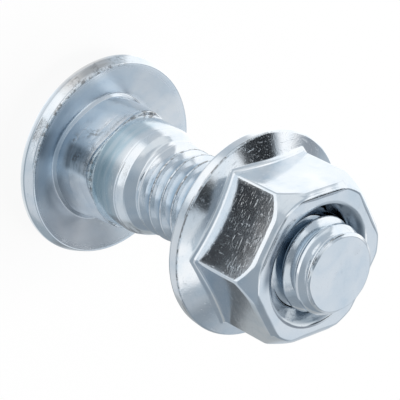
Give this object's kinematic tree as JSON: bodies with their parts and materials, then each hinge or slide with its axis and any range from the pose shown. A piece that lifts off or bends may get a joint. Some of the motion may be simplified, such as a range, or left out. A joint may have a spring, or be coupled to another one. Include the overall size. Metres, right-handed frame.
{
  "type": "square-neck bolt with flange nut",
  "caption": "Low mushroom-head bolt with a short rounded square neck, round shoulder and metric thread, carrying a hexagon nut with a plain flange near its tip.",
  "frame": {"origin": "centre of the flat on the head's crown, on which the bolt stands", "axes": "+Z along the bolt from head to tip, X and Y square to the flats of the neck"},
  "size_m": [0.0134, 0.0134, 0.024],
  "materials": {
    "zinc_bolt": "bright zinc plate with a faint blue tint, slightly worn",
    "zinc_nut": "bright zinc plate with a faint blue tint, slightly worn"
  },
  "bodies": {
    "bolt": {"bolt": "zinc_bolt"},
    "nut": {"flange_nut": "zinc_nut"}
  },
  "joints": [
    {"name": "nut_travel", "type": "slide", "parent": "bolt", "child": "nut", "axis": [0, 0, 1], "range_m": [-0.006, 0.008]}
  ]
}
